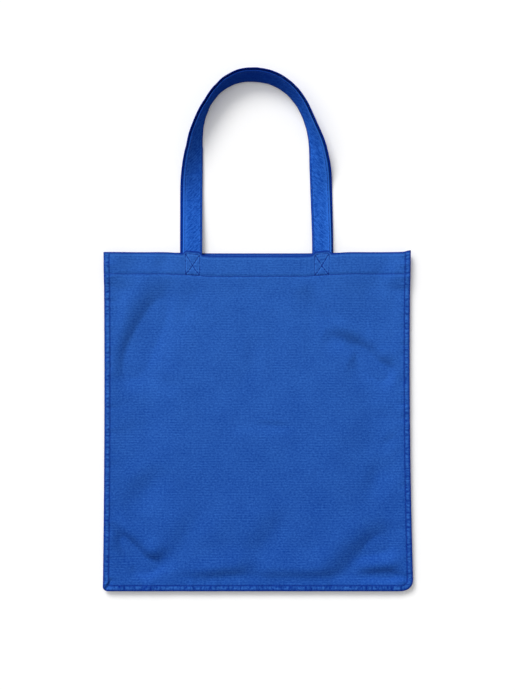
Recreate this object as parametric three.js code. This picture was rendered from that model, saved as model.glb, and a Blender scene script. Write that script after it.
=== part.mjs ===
// A flat shopping bag of non-woven fabric, laid on its back with both handles spread above its mouth.
// Millimetres. +X runs to the right, +Y from the bag's bottom seam to the handles, +Z up off the table.
// While it is modelled, x = 0 is the bag's middle and y = 0 its bottom edge. The last lines centre it.
import * as THREE from 'three';

// Fabric and layers
const fabricThickness = 0.5;
const foldGap = 0.2;
const pieceGap = 0.3;

// Bag
const bagWidth = 380;
const bagHeight = 420;
const seamAllowance = 12;
const hemDepth = 29;
const seamStitchInset = 7;
const hemStitchInset = 2;
const lowerLeftRadius = 6;
const lowerRightRadius = 15;
const lowerLeftFlare = 1.2;
const lowerRightFlare = 3;

// How the bag lies: its panels part inside the seams, and its sewn edges and mouth lift off the table
const innerHeight = 8.5;
const puffWidth = 90;
const edgeLift = 4;
const edgeLiftWidth = 60;
const mouthLift = 0.8;
const mouthLiftRun = 25;
const cornerRamp = 20;
const cornerSpread = 30;

// How the mouth sags between the handles
const frontMouthSag = 4.6;
const backMouthSag = 1.1;
const sagReach = 70;
const sagInnerHalf = 50;
const sagOuterHalf = 120;

// Handles
const handleWidth = 24;
const handleSpacing = 160;
const handleTail = 27;
const handleLeg = 129;
const leftLegLean = 0.2;
const rightLegLean = 3.2;
const archRise = 84.5;
const archSkew = 5;
const archFullness = 0.91;
const backHandleOffset = 3.4;
const backHandleShift = -0.8;
const settleRun = 45;
const handlePileGap = 1;

// How far each handle rolls onto its inner edge, in degrees, and where along its length
const leftShoulderRoll = 82;
const apexRoll = 70;
const rightShoulderRoll = 72;
const leftRollStart = 55;
const leftShoulderAt = 190;
const rightRollStart = 72;
const rightShoulderAt = 170;

// Sewing thread
const threadWidth = 0.8;
const threadHeight = 0.4;
const boxStitchWidth = 18;
const boxStitchTopInset = 3.5;
const seamThreadEndInset = 4;

// How finely the surfaces are divided
const frontColumns = 24;
const frontRows = 25;
const backColumns = 14;
const backRows = 14;
const hemRowCount = 2;
const settleSteps = 3;
const rollSteps = 12;
const archSteps = 30;

// Soft dents in the front panel, each from a point to a point, with one steep and one gentle flank.
// Their places are shares of the bag's half width and of its height, and the rest is in millimetres.
const dents = [
  { from: [-0.968, 0.581], to: [-0.511, 0.933], depth: 4, steep: 14, gentle: 26 },
  { from: [0.411, 0.752], to: [0.653, 0.824], depth: 2.8, steep: 13, gentle: 18 },
  { from: [0.663, 0.629], to: [0.916, 0.714], depth: 2.6, steep: 12, gentle: 16 },
  { from: [-0.968, 0.138], to: [-0.716, 0.186], depth: 2, steep: 8, gentle: 10 },
  { from: [-0.800, 0.048], to: [-0.589, 0.124], depth: 2.4, steep: 9, gentle: 14 },
  { from: [-0.842, 0.243], to: [-0.621, 0.357], depth: 1.2, steep: 12, gentle: 18 },
  { from: [-0.421, 0.019], to: [-0.011, 0.086], depth: 2, steep: 10, gentle: 13 },
  { from: [-0.116, 0.090], to: [0.221, 0.281], depth: 1.5, steep: 13, gentle: 20 },
  { from: [0.447, 0.000], to: [0.874, 0.210], depth: 4, steep: 14, gentle: 22 },
  { from: [0.695, 0.021], to: [0.995, 0.036], depth: 2.2, steep: 6, gentle: 7 },
  { from: [0.726, 0.267], to: [0.832, 0.410], depth: 1.2, steep: 10, gentle: 14 },
];

// Values that follow from the driving dimensions
const halfWidth = bagWidth / 2;
const halfFabric = fabricThickness / 2;
const plyPitch = fabricThickness + foldGap;
const foldRadius = plyPitch / 2;
const sewnStack = 4 * foldRadius + fabricThickness + pieceGap;
const hemEdge = bagHeight - hemDepth;
const mitreClear = seamAllowance + 2 * pieceGap;
const handleThickness = plyPitch + fabricThickness;
const halfHandle = handleThickness / 2;
const hemInnerFace = plyPitch + halfFabric;
const threadStandoff = halfFabric + pieceGap;

const fabric = new THREE.MeshStandardMaterial({ color: 0x2758ab, roughness: 0.85, metalness: 0 });
const strapFabric = new THREE.MeshStandardMaterial({ color: 0x2a5fbb, roughness: 0.8, metalness: 0 });
const thread = new THREE.MeshStandardMaterial({ color: 0x1f4793, roughness: 0.6, metalness: 0 });

const bag = new THREE.Group();

function smooth(value) {
  const t = THREE.MathUtils.clamp(value, 0, 1);
  return t * t * (3 - 2 * t);
}

// 0 along the sewn edges and 1 well inside them
function insideShare(x, y, start, width) {
  const side = smooth((halfWidth - Math.abs(x) - start) / width);
  const bottom = smooth((y - start) / width);
  return side * bottom;
}

// The radius of the side fold's outer ply, which grows where the hem is folded in with it
function sideFoldRadius(y) {
  return foldRadius + plyPitch * smooth((y - (hemEdge - cornerRamp)) / cornerRamp);
}

// Height between the middles of the two panels' main plies where they are sewn together, with the hem's extra
// plies at the top corners
function sewnHeight(x, y) {
  const overAllowance = 1 - smooth((halfWidth - Math.abs(x) - mitreClear) / cornerSpread);
  return sewnStack + 4 * (sideFoldRadius(y) - foldRadius) * overAllowance;
}

function dentDepth(x, y) {
  let total = 0;
  for (const dent of dents) {
    const [startX, startY] = [dent.from[0] * halfWidth, dent.from[1] * bagHeight];
    const runX = dent.to[0] * halfWidth - startX;
    const runY = dent.to[1] * bagHeight - startY;
    const length = Math.hypot(runX, runY);
    const share = ((x - startX) * runX + (y - startY) * runY) / length ** 2;
    if (share <= 0 || share >= 1) continue;
    const across = ((y - startY) * runX - (x - startX) * runY) / length;
    const width = across > 0 ? dent.steep : dent.gentle;
    total += dent.depth * smooth(4 * share * (1 - share)) * Math.exp(-((across / width) ** 2));
  }
  return total;
}

// The height of the back panel where nothing presses on it
function restingHeight(x, y) {
  const lifted = edgeLift * (1 - insideShare(x, y, 0, edgeLiftWidth));
  return halfFabric + lifted + mouthLift * smooth((y - (hemEdge - mouthLiftRun)) / mouthLiftRun);
}

// The least height between the two panels' main plies, which a dent can't go below
function pressedHeight(x, y) {
  return sewnHeight(x, y) + pieceGap * insideShare(x, y, seamStitchInset, 2 * seamAllowance);
}

function frontHeight(x, y) {
  const room = (innerHeight - sewnStack) * insideShare(x, y, seamStitchInset, puffWidth);
  const open = restingHeight(x, y) + sewnHeight(x, y) + room;
  const dented = dentDepth(x, y) * insideShare(x, y, seamStitchInset, 2 * seamAllowance);
  return open - Math.min(dented, open - pressedHeight(x, y) - halfFabric);
}

// Where a dent is deeper than the room between the panels, it presses the back panel down too
function backHeight(x, y) {
  return Math.min(restingHeight(x, y), frontHeight(x, y) - pressedHeight(x, y));
}

// A panel's place on the table: rounded lower corners, a slight flare downwards and a sagging mouth
function placeInPlan(x, y, mouthSag) {
  const side = Math.sign(x);
  const radius = side < 0 ? lowerLeftRadius : lowerRightRadius;
  const flare = side < 0 ? lowerLeftFlare : lowerRightFlare;
  const past = [Math.abs(x) - (halfWidth - radius), radius - y];
  let reach = Math.abs(x);
  let height = y;
  if (past[0] > 0 && past[1] > 0) {
    const round = Math.max(...past) / Math.hypot(...past);
    reach = halfWidth - radius + past[0] * round;
    height = radius - past[1] * round;
  }
  const sagAcross = 1 - smooth((Math.abs(x) - sagInnerHalf) / (sagOuterHalf - sagInnerHalf));
  const sagAlong = smooth((y - (bagHeight - sagReach)) / sagReach);
  const flared = reach * (1 + (flare / halfWidth) * (1 - y / bagHeight));
  return [side * flared, height - mouthSag * sagAcross * sagAlong];
}

// Even steps from a to b, both included
function steps(a, b, count) {
  return Array.from({ length: count + 1 }, (_, i) => a + ((b - a) * i) / count);
}

// Where a panel's main ply is divided across, inside its seam allowances
function innerColumns(columns) {
  return steps(mitreClear - halfWidth, halfWidth - mitreClear, columns);
}

// Where a panel's main ply is divided up to the lower edge of its hem, and then up the hem
function mainRows(rows) {
  return [halfFabric + foldRadius, ...steps(mitreClear, hemEdge - cornerRamp, rows)];
}

function hemRows(rows) {
  return steps(hemEdge, bagHeight - halfFabric - foldRadius, rows);
}

// The columns of a panel's pattern, from one raw side edge to the other: inset is measured from the fold
function sideStations(columns) {
  const flap = (side) => [
    { side, turn: Math.PI, inset: seamAllowance },
    { side, turn: Math.PI, inset: null },
    { side, turn: Math.PI / 2, inset: null },
    { side, turn: 0, inset: null },
  ];
  const middle = innerColumns(columns).map((x) => (
    { side: Math.sign(x) || 1, turn: 0, inset: halfWidth - Math.abs(x) }
  ));
  return [...flap(-1), ...middle, ...flap(1).reverse()];
}

// The rows of a panel's pattern, from the raw bottom edge up the main ply, over the top fold and down the hem
function heightStations(rows) {
  const main = [...mainRows(rows), ...hemRows(hemRowCount)];
  return [
    { y: seamAllowance, turn: Math.PI, end: -1 },
    { y: halfFabric + foldRadius, turn: Math.PI, end: -1 },
    { y: halfFabric, turn: Math.PI / 2, end: -1 },
    ...main.map((y) => ({ y, turn: 0, end: 1 })),
    { y: bagHeight - halfFabric, turn: Math.PI / 2, end: 1 },
    ...hemRows(hemRowCount).reverse().map((y) => ({ y, turn: Math.PI, end: 1 })),
  ];
}

// Where the middle of the fabric lies at one column and row, and the way its outer face points
function patternPoint(column, row) {
  const hemDrop = foldRadius * (1 - Math.cos(row.turn));
  let y = row.y;
  if (column.turn > 0 && row.end > 0 && row.turn === 0) {
    const inset = column.inset ?? halfFabric + foldRadius * (1 - Math.sin(column.turn));
    y = Math.max(y, inset + pieceGap);
  }
  const fullRadius = sideFoldRadius(y);
  const radius = row.end > 0 ? fullRadius - hemDrop : fullRadius;
  const foldLine = halfWidth - halfFabric - fullRadius;
  let reach = foldLine + radius * Math.sin(column.turn);
  if (column.inset !== null) reach = halfWidth - column.inset;
  if (row.end < 0) {
    const rowInset = row.turn === Math.PI ? row.y : halfFabric;
    reach = Math.min(reach, halfWidth - rowInset - pieceGap);
  }
  const drop = hemDrop + radius * (1 - Math.cos(column.turn));
  const normal = new THREE.Vector3(
    column.side * Math.sin(column.turn) * Math.abs(Math.cos(row.turn)),
    row.end * Math.sin(row.turn),
    Math.cos(column.turn) * Math.cos(row.turn),
  );
  return { x: column.side * reach, y, drop, normal: normal.normalize() };
}

// One folded panel as a closed solid. The front panel faces up and the back panel faces down.
function foldedPanel(columnCount, rowCount, facesUp) {
  const columns = sideStations(columnCount);
  const rows = heightStations(rowCount);
  const flapCells = 3;
  const facing = facesUp ? 1 : -1;
  const sag = facesUp ? frontMouthSag : backMouthSag;
  const heightAt = facesUp ? frontHeight : backHeight;
  const positions = [];
  for (const row of rows) {
    for (const column of columns) {
      const point = patternPoint(column, row);
      const z = heightAt(point.x, point.y) - facing * point.drop;
      for (const face of [1, -1]) {
        const shift = point.normal.clone().multiplyScalar(face * halfFabric);
        const [px, py] = placeInPlan(point.x + shift.x, point.y + shift.y, sag);
        positions.push(px, py, z + facing * shift.z);
      }
    }
  }
  const corner = (i, j, face) => 2 * (j * columns.length + i) + (face > 0 ? 0 : 1);
  const lastColumn = columns.length - 1;
  const cut = (i, j) => {
    const outside = i < 0 || j < 0 || i >= lastColumn || j >= rows.length - 1;
    const sideFlap = i < flapCells || i >= lastColumn - flapCells;
    return outside || (sideFlap && j < flapCells);
  };
  const triangles = [];
  const quad = (a, b, c, d) => {
    const turned = facesUp ? [a, b, c, a, c, d] : [a, c, b, a, d, c];
    triangles.push(...turned);
  };
  for (let j = 0; j < rows.length - 1; j += 1) {
    for (let i = 0; i < lastColumn; i += 1) {
      if (cut(i, j)) continue;
      const ring = [[i, j], [i + 1, j], [i + 1, j + 1], [i, j + 1]];
      const beside = [cut(i, j - 1), cut(i + 1, j), cut(i, j + 1), cut(i - 1, j)];
      quad(...ring.map(([a, b]) => corner(a, b, 1)));
      const [first, ...others] = ring.map(([a, b]) => corner(a, b, -1));
      quad(first, ...others.reverse());
      beside.forEach((open, k) => {
        if (!open) return;
        const [p, q] = [ring[k], ring[(k + 1) % 4]];
        quad(corner(...q, 1), corner(...p, 1), corner(...p, -1), corner(...q, -1));
      });
    }
  }
  return solidFrom(positions, triangles);
}

// A closed solid from its points and triangles, without the points that no triangle uses
function solidFrom(positions, triangles) {
  const kept = new Map();
  const used = [];
  const index = triangles.map((old) => {
    if (!kept.has(old)) {
      kept.set(old, kept.size);
      used.push(...positions.slice(3 * old, 3 * old + 3));
    }
    return kept.get(old);
  });
  const geometry = new THREE.BufferGeometry();
  geometry.setAttribute('position', new THREE.Float32BufferAttribute(used, 3));
  geometry.setIndex(index);
  geometry.computeVertexNormals();
  return geometry;
}

// A solid swept through stations, each of which turns an outline point into a place. Faces that lie on each
// other are divided the same way, so that a twisted wall keeps its thickness.
function sweptSolid(outline, stations) {
  const count = outline.length;
  const positions = [];
  for (const station of stations) {
    for (const point of outline) positions.push(...station(point).toArray());
  }
  const triangles = [];
  for (let j = 0; j < stations.length - 1; j += 1) {
    for (let i = 0; i < count; i += 1) {
      const next = (i + 1) % count;
      const a = j * count + i;
      const b = j * count + next;
      const outwards = outline[next].x > outline[i].x;
      if (outwards) triangles.push(a, b, b + count, a, b + count, a + count);
      else triangles.push(a, b, a + count, b, b + count, a + count);
    }
  }
  const last = (stations.length - 1) * count;
  for (const [a, b, c] of THREE.ShapeUtils.triangulateShape(outline, [])) {
    triangles.push(c, b, a, last + a, last + b, last + c);
  }
  return solidFrom(positions, triangles);
}

function addPiece(name, geometry, material) {
  const mesh = new THREE.Mesh(geometry, material);
  mesh.name = name;
  bag.add(mesh);
  return mesh;
}

// A handle's inner edge seen from above, from its left end to its right end
function handlePath(offset, shift) {
  const innerHalf = handleSpacing / 2 - handleWidth / 2 + offset;
  const archFoot = bagHeight + handleLeg;
  const archHalf = innerHalf - (leftLegLean + rightLegLean) / 2;
  const archMiddle = shift + (leftLegLean - rightLegLean) / 2;
  const lean = (y) => smooth((y - bagHeight) / handleLeg);
  const points = [];
  const settling = steps(bagHeight, bagHeight + settleRun, settleSteps);
  const rolling = steps(bagHeight + Math.min(leftRollStart, rightRollStart), archFoot, rollSteps);
  const leg = [bagHeight - handleTail, ...settling, ...rolling];
  for (const y of leg) points.push(new THREE.Vector2(shift - innerHalf + leftLegLean * lean(y), y));
  for (const angle of steps(Math.PI, 0, archSteps).slice(1, -1)) {
    const across = Math.sign(Math.cos(angle)) * Math.abs(Math.cos(angle)) ** archFullness;
    const rise = Math.sin(angle) ** archFullness;
    const x = archMiddle + archHalf * across - archSkew * rise;
    points.push(new THREE.Vector2(x, archFoot + (archRise + offset) * rise));
  }
  for (const y of leg.reverse()) points.push(new THREE.Vector2(shift + innerHalf - rightLegLean * lean(y), y));
  return points;
}

// How far each point of a path lies from the left end of the mouth
function distancesFromMouth(points) {
  const along = [-handleTail];
  for (let i = 1; i < points.length; i += 1) along.push(along[i - 1] + points[i].distanceTo(points[i - 1]));
  return along;
}

// The roll at a distance from the left end of the mouth, in radians
function handleRoll(distance, total) {
  const keys = [
    [leftRollStart, 0],
    [leftShoulderAt, leftShoulderRoll],
    [total / 2, apexRoll],
    [total - rightShoulderAt, rightShoulderRoll],
    [total - rightRollStart, 0],
  ];
  if (distance <= keys[0][0] || distance >= keys[4][0]) return 0;
  const next = keys.findIndex((key) => key[0] > distance);
  const [from, to] = [keys[next - 1], keys[next]];
  const share = smooth((distance - from[0]) / (to[0] - from[0]));
  return THREE.MathUtils.degToRad(from[1] + (to[1] - from[1]) * share);
}

// One handle: a strip folded in half along its outer edge, laid flat on its legs and on edge round the arch
function handle(offset, shift, mouthHeight, pileHeight) {
  const points = handlePath(offset, shift);
  const along = distancesFromMouth(handlePath(0, 0));
  const total = along[along.length - 1] - handleTail;
  const foldStart = handleWidth - halfHandle;
  const inside = foldGap / 2;
  const outline = [
    [0, halfHandle], [0, inside], [foldStart, inside], [foldStart + inside, 0], [foldStart, -inside],
    [0, -inside], [0, -halfHandle], [foldStart, -halfHandle], [handleWidth, 0], [foldStart, halfHandle],
  ].map(([a, c]) => new THREE.Vector2(a, c));
  const stations = points.map((point, i) => {
    const before = points[Math.max(i - 1, 0)];
    const after = points[Math.min(i + 1, points.length - 1)];
    const run = after.clone().sub(before).normalize();
    const outward = new THREE.Vector3(-run.y, run.x, 0);
    const roll = handleRoll(along[i], total);
    const across = outward.clone().multiplyScalar(Math.cos(roll)).setZ(Math.sin(roll));
    const facing = outward.clone().multiplyScalar(-Math.sin(roll)).setZ(Math.cos(roll));
    const fromMouth = Math.min(along[i], total - along[i]);
    const settled = smooth(fromMouth / settleRun);
    const rest = halfHandle * Math.cos(roll) + pileHeight;
    const z = mouthHeight + (rest - mouthHeight) * settled;
    const origin = new THREE.Vector3(point.x, point.y, z);
    return (p) => origin.clone().addScaledVector(across, p.x).addScaledVector(facing, p.y);
  });
  return sweptSolid(outline, stations);
}

// A row of thread through points on a panel, each with its height above the table
function threadRow(points) {
  const half = threadWidth / 2;
  const outline = [[-half, 0], [half, 0], [half, threadHeight], [-half, threadHeight]];
  const stations = points.map((point, i) => {
    const before = points[Math.max(i - 1, 0)];
    const after = points[Math.min(i + 1, points.length - 1)];
    const run = new THREE.Vector3().subVectors(after, before).setZ(0).normalize();
    return (p) => new THREE.Vector3(point.x - run.y * p.x, point.y + run.x * p.x, point.z + p.y);
  });
  return sweptSolid(outline.map(([a, b]) => new THREE.Vector2(a, b)), stations);
}

// A place for thread on the outer face of the front panel, or under the back panel
function onPanel(x, y, facesUp) {
  const [px, py] = placeInPlan(x, y, facesUp ? frontMouthSag : backMouthSag);
  const above = frontHeight(x, y) + threadStandoff;
  const below = backHeight(x, y) - threadStandoff - threadHeight;
  return new THREE.Vector3(px, py, facesUp ? above : below);
}

// The seam's row runs down one side, along the bottom and up the other side
function seamThread(facesUp, columns, rows) {
  const side = halfWidth - seamStitchInset;
  const hemHeights = hemRows(hemRowCount).slice(0, -1);
  const up = [...mainRows(rows).slice(1), ...hemHeights, bagHeight - seamThreadEndInset];
  const path = [
    ...up.toReversed().map((y) => [-side, y]),
    ...[-side, ...innerColumns(columns), side].map((x) => [x, seamStitchInset]),
    ...up.map((y) => [side, y]),
  ];
  return threadRow(path.map(([x, y]) => onPanel(x, y, facesUp)));
}

function hemThread(facesUp, columns) {
  const end = halfWidth - seamStitchInset - threadWidth - pieceGap;
  const across = [-end, ...innerColumns(columns), end];
  return threadRow(across.map((x) => onPanel(x, hemEdge + hemStitchInset, facesUp)));
}

// A box with a cross in it, sewn through the hem and one end of a handle
function boxThread(x, facesUp) {
  const half = boxStitchWidth / 2;
  const low = hemEdge + hemStitchInset + threadWidth + pieceGap;
  const high = bagHeight - boxStitchTopInset;
  const middle = (low + high) / 2;
  const rise = (high - low) / 2;
  const line = threadWidth / 2;
  const shape = new THREE.Shape();
  shape.setFromPoints([[-1, -1], [1, -1], [1, 1], [-1, 1]].map(([a, b]) => new THREE.Vector2(
    a * (half + line),
    b * (rise + line),
  )));
  const diagonal = Math.hypot(half, rise);
  const acrossCut = (line * diagonal) / half + (line * half) / rise;
  const alongCut = (line * diagonal) / rise + (line * rise) / half;
  const tipAcross = (line * diagonal) / rise;
  const tipAlong = (line * diagonal) / half;
  for (const side of [-1, 1]) {
    shape.holes.push(new THREE.Path([
      new THREE.Vector2(side * (half - alongCut * half / rise), side * (rise - line)),
      new THREE.Vector2(-side * (half - alongCut * half / rise), side * (rise - line)),
      new THREE.Vector2(0, side * tipAlong),
    ]));
    shape.holes.push(new THREE.Path([
      new THREE.Vector2(side * (half - line), -side * (rise - acrossCut * rise / half)),
      new THREE.Vector2(side * (half - line), side * (rise - acrossCut * rise / half)),
      new THREE.Vector2(side * tipAcross, 0),
    ]));
  }
  const geometry = new THREE.ExtrudeGeometry(shape, { depth: threadHeight, bevelEnabled: false });
  const place = onPanel(x, middle, facesUp);
  const hemSag = onPanel(x + Math.sign(x) * half, low, facesUp).y - low;
  geometry.translate(place.x, middle + hemSag, place.z);
  return geometry;
}

const handleX = handleSpacing / 2;
const mouthUnderFront = frontHeight(handleX, bagHeight) - hemInnerFace - pieceGap - halfHandle;
const mouthOverBack = backHeight(handleX, bagHeight) + hemInnerFace + pieceGap + halfHandle;

addPiece('front_panel', foldedPanel(frontColumns, frontRows, true), fabric);
addPiece('back_panel', foldedPanel(backColumns, backRows, false), fabric);
addPiece('front_handle', handle(0, 0, mouthUnderFront, handleThickness + handlePileGap), strapFabric);
addPiece('back_handle', handle(backHandleOffset, backHandleShift, mouthOverBack, 0), strapFabric);
for (const [panel, facesUp, columns, rows] of [
  ['front', true, frontColumns, frontRows],
  ['back', false, backColumns, backRows],
]) {
  const spread = handleX + (facesUp ? 0 : backHandleOffset);
  const shift = facesUp ? 0 : backHandleShift;
  addPiece(`${panel}_seam_thread`, seamThread(facesUp, columns, rows), thread);
  addPiece(`${panel}_hem_thread`, hemThread(facesUp, columns), thread);
  addPiece(`${panel}_left_box_thread`, boxThread(shift - spread, facesUp), thread);
  addPiece(`${panel}_right_box_thread`, boxThread(shift + spread, facesUp), thread);
}

// The origin is under the middle of the whole bag, handles included, at the height of the table
const bounds = new THREE.Box3().setFromObject(bag);
const middle = bounds.getCenter(new THREE.Vector3());
bag.position.set(-middle.x, -middle.y, -bounds.min.z);

export default bag;
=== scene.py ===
# A flat shopping bag of non-woven fabric, laid on its back with both handles spread above its mouth.
# Metres. +X runs to the right, +Y from the bag's bottom seam to the handles, +Z up off the table.
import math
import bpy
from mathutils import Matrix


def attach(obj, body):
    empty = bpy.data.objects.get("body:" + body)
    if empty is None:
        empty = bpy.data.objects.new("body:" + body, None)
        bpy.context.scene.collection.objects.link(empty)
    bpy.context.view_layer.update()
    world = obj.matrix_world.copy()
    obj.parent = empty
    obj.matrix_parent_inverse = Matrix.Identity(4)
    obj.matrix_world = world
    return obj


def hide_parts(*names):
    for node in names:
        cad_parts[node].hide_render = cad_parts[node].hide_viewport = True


bl_info = {
    "name": "Non-woven bag",
    "version": (1, 0, 0),
    "blender": (4, 5, 0),
    "location": "3D View > Sidebar > Bag",
    "description": "Builds a sewn non-woven bag, its threads and its stage",
    "category": "Object",
}

import bpy
from bpy.props import FloatProperty, FloatVectorProperty, PointerProperty
from mathutils import Vector, noise

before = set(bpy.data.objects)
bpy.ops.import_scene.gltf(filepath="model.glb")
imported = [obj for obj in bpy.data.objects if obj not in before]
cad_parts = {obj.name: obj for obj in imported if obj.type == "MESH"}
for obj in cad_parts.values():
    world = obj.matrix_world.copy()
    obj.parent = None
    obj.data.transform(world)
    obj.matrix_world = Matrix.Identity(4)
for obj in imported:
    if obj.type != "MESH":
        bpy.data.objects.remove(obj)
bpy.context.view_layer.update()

BODY = "root"
GROUP_NAMES = ("cut", "lay", "strap", "sewing", "relief", "weave", "looks")

# The sockets of a Mix node that mixes colours
MIX_FACTOR = 0
MIX_FIRST = 6
MIX_SECOND = 7
MIX_RESULT = 2

BLACK = (0.0, 0.0, 0.0)
WHITE = (1.0, 1.0, 1.0)

# Soft dents in the front panel, and ridges, where the depth is below zero. Each row says where one starts
# and ends, in shares of the bag's half width and of its height, how deep it is, and how wide its left and
# its right flank are, looking from its start to its end
DENTS = (
    ((-0.968, 0.581), (-0.511, 0.933), 0.0070, 0.018, 0.026),
    ((-1.115, 0.620), (-0.658, 0.972), -0.0022, 0.018, 0.018),
    ((0.421, 0.760), (0.823, 0.692), 0.0048, 0.009, 0.014),
    ((0.613, 0.701), (0.927, 0.631), 0.0066, 0.010, 0.018),
    ((0.267, 0.900), (0.561, 0.716), 0.0026, 0.011, 0.014),
    ((-1.027, 0.211), (-0.629, 0.040), 0.0068, 0.009, 0.014),
    ((-0.968, 0.239), (-0.570, 0.068), -0.0018, 0.009, 0.009),
    ((-0.847, 0.024), (-0.527, 0.118), 0.0044, 0.010, 0.012),
    ((-0.880, 0.220), (-0.560, 0.370), 0.0022, 0.014, 0.018),
    ((-0.433, -0.002), (0.084, 0.067), 0.0034, 0.011, 0.012),
    ((-0.093, 0.043), (0.234, 0.256), 0.0018, 0.014, 0.018),
    ((-0.635, 0.019), (-0.341, 0.271), 0.0009, 0.012, 0.012),
    ((0.393, -0.024), (0.929, 0.197), 0.0066, 0.017, 0.050),
    ((0.600, 0.018), (1.080, 0.042), 0.0110, 0.012, 0.012),
    ((0.600, 0.069), (1.080, 0.093), -0.0026, 0.012, 0.012),
    ((0.726, 0.267), (0.832, 0.410), 0.0016, 0.010, 0.014),
    ((1.080, 0.064), (-0.800, 0.064), -0.0044, 0.011, 0.050),
)

# Shallower creases and ridges of the same kind
CREASES = (
    ((-0.020, 0.496), (0.240, 0.486), 0.0009, 0.003, 0.014),
    ((-0.660, 0.930), (-0.550, 1.010), 0.0011, 0.008, 0.010),
    ((0.750, 0.877), (0.868, 0.995), 0.0008, 0.008, 0.010),
    ((-0.276, 0.452), (0.280, 0.466), -0.0012, 0.010, 0.030),
    ((-0.063, 0.610), (-0.016, 0.762), 0.0006, 0.007, 0.010),
    ((-0.579, 0.714), (-0.368, 0.924), 0.0009, 0.010, 0.012),
    ((-0.766, 0.649), (-0.505, 0.590), 0.0008, 0.008, 0.010),
    ((0.639, 0.847), (0.907, 0.667), -0.0010, 0.004, 0.006),
    ((0.316, 0.905), (0.442, 0.786), 0.0006, 0.010, 0.012),
    ((0.789, 0.429), (0.979, 0.467), 0.0009, 0.005, 0.008),
    ((-0.263, 0.262), (-0.505, 0.143), 0.0006, 0.012, 0.014),
)

# Short folds that the seam draws in both panels at the lower corners
PINCHES = (
    ((-1.000, -0.004), (-0.935, 0.040), 0.0016, 0.0016, 0.0035),
    ((0.780, 0.040), (1.010, 0.046), 0.0016, 0.0040, 0.0060),
)

# Each kind of unevenness in the cloth has its own layer of the noise
SIDE_PUCKER_LAYER = 0.5
BOTTOM_PUCKER_LAYER = 3.5
HEM_PUCKER_LAYER = 7.5
RIPPLE_LAYER = 11.5
CRUMPLE_LAYER = 17.5
STRAP_CREASE_LAYER = 23.5
GATHER_LAYER = 29.5
HANG_LAYER = 37.5

# Where the bulge over a handle's end starts to fade, and how far on it ends, in its half widths
BULGE_FADE_START = 0.7
BULGE_FADE = 0.5

# The handles' creases: how they lean, how much longer than wide they are, and their share on flat parts
CREASE_LEAN_ALONG = 0.6
CREASE_LEAN_ACROSS = 0.3
CREASE_STRETCH = 2.5
CREASE_FLAT = 0.45

# Spacing of the points in each panel, and the shares of it where they are closer together
FRONT_SPACING = 0.0026
BACK_SPACING = 0.0045
STRAP_END_SHARE = 0.45
NEAR_HEM_SHARE = 0.6
HEM_SHARE = 0.45

# How far to both sides of a handle's middle the panel's points are closer together, in widths of its box
STRAP_END_REACH = 0.65

# Steps in one width of a strap, along it and across it
STRAP_STEPS_ALONG = 10
STRAP_STEPS_ACROSS = 14

# The angles of the points round the bend of a fold, between its two flat sides
BEND = (0.25 * math.pi, 0.5 * math.pi, 0.75 * math.pi)

# Spacing of the points that a row of stitches follows, and the least distance between two of them
ROW_STEP = 0.0015
ROW_LEAST = 0.0002

# The middle of the noise and of the texture's heights, which run from 0 to 1
MIDDLE = 0.5

# The roughness of the materials' noise, and how long and how detailed the grain's is
NOISE_ROUGHNESS = 0.55
GRAIN_STRETCH = 1.25
GRAIN_DETAIL = 1.5

# How sharply the ribs' patches end, and below which level the ribs don't show
PATCH_CONTRAST = 2
PATCH_START = 0.5

# Needle holes along a row: their size in flecks, how they come out of the noise, and the row between them
HOLE_SIZE = 0.8
HOLE_START = 0.42
HOLE_CONTRAST = 7
ROW_FAINT = 0.15

# How dark the marks in the panels' colour are: the rows, the strips, the painted shade along folded rims,
# and the flecks' tone with painted shade where they lie low
SEAM_ROW_DARK = 0.65
HEM_ROW_DARK = 0.6
RIM_PAINTED_SHADE = 0.95
STRIP_DARK = 0.15
FLECK_TONE_AND_SHADE = 2.4

# Painted highlights in the panels' colour beside the rows and on the mouth's pale line, the flecks' tone
# with painted highlight where they stand up, and where the mouth's pale line lies, in widths of the rim
BESIDE_ROW_PAINTED_HIGHLIGHT = 0.9
CREST_PAINTED_HIGHLIGHT = 0.35
FLECK_TONE_AND_HIGHLIGHT = 1.6
CREST_AT = 1.8

# How dark or light the marks in the handles' colour are: the rows, painted shade along the inner edge and
# the back handle's fold, and painted highlight beside the rows
STRAP_ROW_DARK = 0.7
STRAP_EDGE_PAINTED_SHADE = 0.7
STRAP_FOLD_PAINTED_SHADE = 0.8
STRAP_BESIDE_ROW_PAINTED_HIGHLIGHT = 0.5

# How far flecks and streaks stand up, in depths of the pressed texture
FLECK_HEIGHT = 3.0
STREAK_HEIGHT = 2

# The surfaces' roughness, how much their texture adds, and their specular level
PANEL_ROUGHNESS = 0.70
STRAP_ROUGHNESS = 0.62
THREAD_ROUGHNESS = 0.45
FLOOR_ROUGHNESS = 0.9
TEXTURE_ROUGHNESS = 0.15
PANEL_SPECULAR = 0.05
STRAP_SPECULAR = 0.0
THREAD_SPECULAR = 0.15
FLOOR_SPECULAR = 0.0

# The twist of the thread
TWIST_SIZE = 0.0004
TWIST_DEPTH = 0.00006

# How far the table reaches from the frame's middle, and how far under the bag it lies
TABLE_REACH = 4.0
TABLE_DROP = 0.0001


def length(name, description, default):
    return FloatProperty(name=name, description=description, default=default, unit="LENGTH", precision=5)


def turn(name, description, degrees):
    return FloatProperty(name=name, description=description, default=math.radians(degrees), subtype="ANGLE")


def share(name, description, default):
    return FloatProperty(name=name, description=description, default=default, subtype="FACTOR")


def colour(name, description, default):
    return FloatVectorProperty(name=name, description=description, default=default, subtype="COLOR", size=3)


def group(name, kind):
    return PointerProperty(type=kind, name=name, description=kind.__doc__)


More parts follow.
